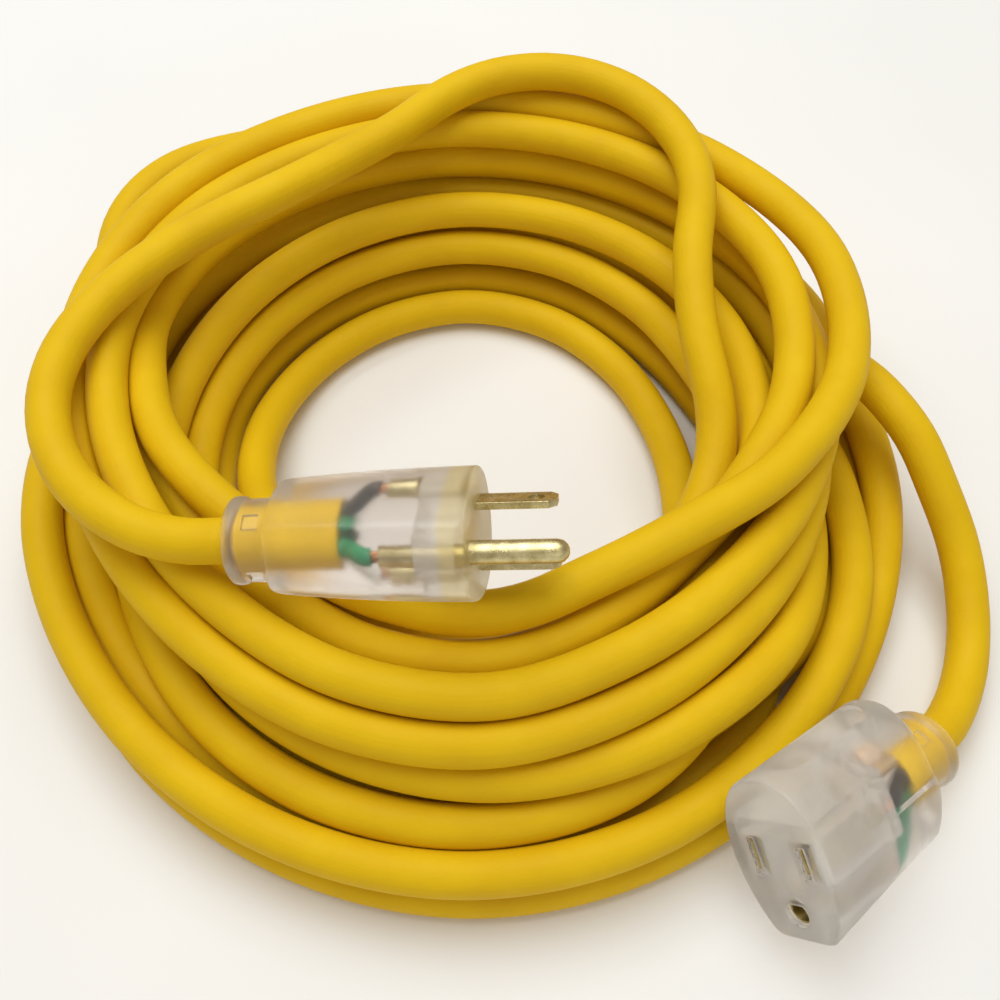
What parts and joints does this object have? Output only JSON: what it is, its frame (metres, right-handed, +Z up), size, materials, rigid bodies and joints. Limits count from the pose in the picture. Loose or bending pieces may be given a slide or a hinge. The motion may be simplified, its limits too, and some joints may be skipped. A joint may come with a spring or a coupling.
{
  "type": "extension cord",
  "caption": "Outdoor extension cord wound into a loose round coil, with a moulded clear grounded plug lying on the coil and a moulded clear grounded connector beside it.",
  "frame": {"origin": "middle of the whole object's footprint, on the surface it stands on", "axes": "+Z up out of the coil, +X towards the side where the connector's lead leaves the coil, -Y towards the side with the plug and the connector"},
  "size_m": [0.2306, 0.2274, 0.078],
  "materials": {
    "jacket": "satin yellow vinyl jacket",
    "clear_pvc": "clear soft vinyl, finely frosted",
    "insert": "milky moulded insulator",
    "brass": "formed sheet brass, lightly polished",
    "contact_brass": "stamped spring brass",
    "copper": "bare stranded copper",
    "insulation_black": "black conductor insulation",
    "insulation_white": "white conductor insulation",
    "insulation_green": "green conductor insulation",
    "lamp_glass": "small neon indicator lamp",
    "resistor_body": "lacquered resistor body",
    "tinned_wire": "tinned lead wire"
  },
  "bodies": {
    "root": {"cord_coil": "jacket", "plug_lead": "jacket", "connector_lead": "jacket", "plug_body": "clear_pvc", "plug_bridge": "insert", "blade_hot": "brass", "blade_neutral": "brass", "ground_pin": "brass", "plug_jacket_end": "jacket", "plug_wire_black": "insulation_black", "plug_strands_black": "copper", "plug_wire_white": "insulation_white", "plug_strands_white": "copper", "plug_wire_green": "insulation_green", "plug_strands_green": "copper", "connector_wire_black": "insulation_black", "connector_strands_black": "copper", "connector_wire_white": "insulation_white", "connector_strands_white": "copper", "connector_wire_green": "insulation_green", "connector_strands_green": "copper", "connector_body": "clear_pvc", "contact_carrier": "insert", "carrier_cap": "insert", "contact_hot": "contact_brass", "contact_neutral": "contact_brass", "contact_ground": "contact_brass", "connector_jacket_end": "jacket", "indicator_lamp": "lamp_glass", "indicator_resistor": "resistor_body", "lamp_tap": "tinned_wire", "resistor_tap": "tinned_wire"}
  },
  "joints": []
}
